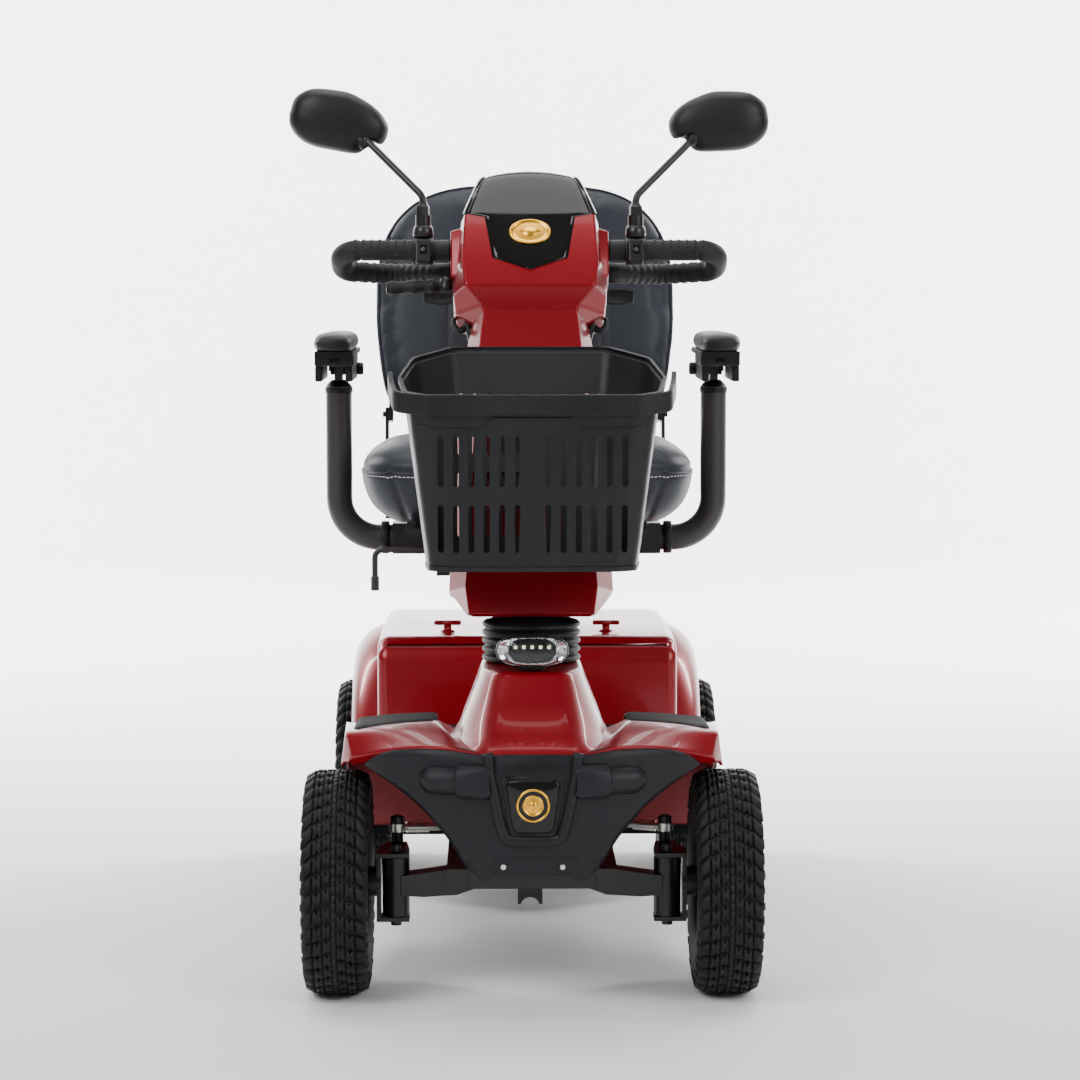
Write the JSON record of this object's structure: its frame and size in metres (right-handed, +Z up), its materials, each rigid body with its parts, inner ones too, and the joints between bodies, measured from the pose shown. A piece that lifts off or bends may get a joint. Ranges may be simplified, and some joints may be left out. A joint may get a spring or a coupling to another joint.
{
  "type": "mobility scooter",
  "caption": "Four-wheel mobility scooter with a tilting delta tiller, front basket, lamp, mirrors and a swivel seat with flip-up armrests.",
  "frame": {"origin": "on the ground under the middle of the scooter's overall length and width", "axes": "+Z up, +Y towards the rear, so the scooter faces -Y; +X is the rider's left"},
  "size_m": [0.744, 1.4338, 1.338],
  "materials": {
    "tyre": "moulded tread, matt",
    "wheel_paint": "satin",
    "chassis_paint": "satin powder coat",
    "zinc_steel": "zinc plated",
    "aluminium": "cast",
    "red_shell": "metallic candy red under clear coat",
    "dark_plastic": "fine grain",
    "black_rubber": "matt",
    "mat_rubber": "ribbed",
    "gloss_black": "polished",
    "chrome": "plated",
    "clear_lens": "clear",
    "lamp_chip": "warm white",
    "red_lens": "moulded lens",
    "arm_paint": "metallic powder coat",
    "red_lever": "moulded",
    "seat_vinyl": "fine-grained vinyl",
    "pad_skin": "integral-skin foam",
    "gold": "polished",
    "mirror_glass": "silvered"
  },
  "bodies": {
    "chassis": {"frame": "chassis_paint", "steering_tower": "chassis_paint", "floor_pan": "dark_plastic", "floor_mats": "mat_rubber", "front_shroud": "red_shell", "column_cowl": "red_shell", "front_bumper": "dark_plastic", "badge_panel": "gloss_black", "headlight_housing": "chrome", "headlight_lens": "clear_lens", "headlight_leds": "lamp_chip", "rear_shroud": "red_shell", "rear_bumper": "dark_plastic", "tail_lights": "red_lens", "batteries": "dark_plastic", "controller": "aluminium", "transaxle": "aluminium", "seat_post": "zinc_steel"},
    "steering": {"steering_stem": "chassis_paint", "bellows": "black_rubber"},
    "knuckle_left": {"knuckle_left": "chassis_paint"},
    "knuckle_right": {"knuckle_right": "chassis_paint"},
    "tie_rod_left": {"tie_rod_left": "zinc_steel"},
    "tie_rod_right": {"tie_rod_right": "zinc_steel"},
    "tiller": {"tiller_tube": "chassis_paint", "tiller_shroud": "red_shell", "head_shell": "red_shell", "console_cover": "gloss_black", "control_panel": "dark_plastic", "handlebar": "zinc_steel", "handlebar_grips": "black_rubber", "bag_hooks": "dark_plastic", "mirror_stems": "arm_paint", "basket": "dark_plastic", "basket_bracket": "chassis_paint"},
    "speed_dial": {"speed_dial": "black_rubber"},
    "throttle_lever": {"throttle_lever": "black_rubber"},
    "tilt_lever": {"tilt_lever": "black_rubber"},
    "mirror_left": {"mirror_left": "dark_plastic"},
    "mirror_right": {"mirror_right": "dark_plastic"},
    "freewheel_lever": {"freewheel_lever": "red_lever"},
    "seat_swivel": {"seat_base": "chassis_paint"},
    "swivel_lever": {"swivel_lever": "arm_paint"},
    "seat": {"seat_frame": "chassis_paint", "seat_cushion": "seat_vinyl", "armrest_posts": "arm_paint"},
    "backrest": {"seat_back": "seat_vinyl", "back_brackets": "chassis_paint"},
    "armrest_left": {"armrest_bracket_left": "dark_plastic", "armrest_pad_left": "pad_skin"},
    "armrest_right": {"armrest_bracket_right": "dark_plastic", "armrest_pad_right": "pad_skin"},
    "wheel_front_left": {"tyre_front_left": "tyre", "rim_front_left": "wheel_paint"},
    "wheel_front_right": {"tyre_front_right": "tyre", "rim_front_right": "wheel_paint"},
    "wheel_rear_left": {"tyre_rear_left": "tyre", "rim_rear_left": "wheel_paint"},
    "wheel_rear_right": {"tyre_rear_right": "tyre", "rim_rear_right": "wheel_paint"}
  },
  "joints": [
    {"name": "steer", "type": "hinge", "parent": "chassis", "child": "steering", "pos_m": [0, -0.475, 0.3], "axis": [0, 0, 1], "range_deg": [-32, 32]},
    {"name": "knuckle_left_steer", "type": "hinge", "parent": "chassis", "child": "knuckle_left", "pos_m": [0.2, -0.525, 0.165], "axis": [0, 0, 1], "range_deg": [-32, 32]},
    {"name": "tie_rod_left_swing", "type": "hinge", "parent": "steering", "child": "tie_rod_left", "pos_m": [0, -0.405, 0.24], "axis": [0, 0, 1], "range_deg": [-32, 32]},
    {"name": "wheel_front_left_spin", "type": "hinge", "parent": "knuckle_left", "child": "wheel_front_left", "pos_m": [0.285, -0.525, 0.165], "axis": [1, 0, 0], "continuous": true},
    {"name": "wheel_rear_left_spin", "type": "hinge", "parent": "chassis", "child": "wheel_rear_left", "pos_m": [0.285, 0.475, 0.165], "axis": [1, 0, 0], "continuous": true},
    {"name": "knuckle_right_steer", "type": "hinge", "parent": "chassis", "child": "knuckle_right", "pos_m": [-0.2, -0.525, 0.165], "axis": [0, 0, 1], "range_deg": [-32, 32]},
    {"name": "tie_rod_right_swing", "type": "hinge", "parent": "steering", "child": "tie_rod_right", "pos_m": [0, -0.405, 0.226], "axis": [0, 0, 1], "range_deg": [-32, 32]},
    {"name": "wheel_front_right_spin", "type": "hinge", "parent": "knuckle_right", "child": "wheel_front_right", "pos_m": [-0.285, -0.525, 0.165], "axis": [1, 0, 0], "continuous": true},
    {"name": "wheel_rear_right_spin", "type": "hinge", "parent": "chassis", "child": "wheel_rear_right", "pos_m": [-0.285, 0.475, 0.165], "axis": [1, 0, 0], "continuous": true},
    {"name": "tiller_tilt", "type": "hinge", "parent": "steering", "child": "tiller", "pos_m": [0, -0.475, 0.515], "axis": [1, 0, 0], "range_deg": [-2, 18], "deforming": ["bellows"]},
    {"name": "speed_dial_turn", "type": "hinge", "parent": "tiller", "child": "speed_dial", "pos_m": [0, -0.15817, 1.07376], "axis": [0, 0.9304, -0.3665], "range_deg": [0, 270]},
    {"name": "throttle_turn", "type": "hinge", "parent": "tiller", "child": "throttle_lever", "pos_m": [0, -0.15126, 1.03127], "axis": [0, 0.3665, 0.9304], "range_deg": [-15, 15], "stiffness_Nm_per_rad": 1},
    {"name": "tilt_lever_pull", "type": "hinge", "parent": "tiller", "child": "tilt_lever", "pos_m": [-0.128, -0.26903, 1.03789], "axis": [0, -0.3665, -0.9304], "range_deg": [0, 15], "stiffness_Nm_per_rad": 2, "springref_deg": -11.46},
    {"name": "mirror_left_aim", "type": "hinge", "parent": "tiller", "child": "mirror_left", "pos_m": [0.252, -0.206, 1.262], "axis": [0, 0, 1], "range_deg": [-15, 15]},
    {"name": "mirror_right_aim", "type": "hinge", "parent": "tiller", "child": "mirror_right", "pos_m": [-0.252, -0.206, 1.262], "axis": [0, 0, 1], "range_deg": [-15, 15]},
    {"name": "seat_swivel", "type": "hinge", "parent": "chassis", "child": "seat_swivel", "pos_m": [0, 0.3, 0.55], "axis": [0, 0, 1], "range_deg": [-90, 90]},
    {"name": "swivel_lever_pull", "type": "hinge", "parent": "seat_swivel", "child": "swivel_lever", "pos_m": [-0.2, 0.075, 0.601], "axis": [1, 0, 0], "range_deg": [0, 25], "stiffness_Nm_per_rad": 1, "springref_deg": -11.46},
    {"name": "seat_slide", "type": "slide", "parent": "seat_swivel", "child": "seat", "axis": [0, 1, 0], "range_m": [-0.04, 0.04]},
    {"name": "backrest_fold", "type": "hinge", "parent": "seat", "child": "backrest", "pos_m": [0, 0.47, 0.805], "axis": [1, 0, 0], "range_deg": [-12, 95]},
    {"name": "armrest_left_flip", "type": "hinge", "parent": "seat", "child": "armrest_left", "pos_m": [0.319, 0.26, 0.893], "axis": [-1, 0, 0], "range_deg": [0, 90]},
    {"name": "armrest_right_flip", "type": "hinge", "parent": "seat", "child": "armrest_right", "pos_m": [-0.319, 0.26, 0.893], "axis": [-1, 0, 0], "range_deg": [0, 90]},
    {"name": "freewheel_pull", "type": "hinge", "parent": "chassis", "child": "freewheel_lever", "pos_m": [0.138, 0.53, 0.15], "axis": [-1, 0, 0], "range_deg": [0, 30]}
  ],
  "couplings": [
    {"joint": "knuckle_left_steer", "follows": "steer", "ratio": 1},
    {"joint": "tie_rod_left_swing", "follows": "steer", "ratio": -1},
    {"joint": "knuckle_right_steer", "follows": "steer", "ratio": 1},
    {"joint": "tie_rod_right_swing", "follows": "steer", "ratio": -1}
  ]
}
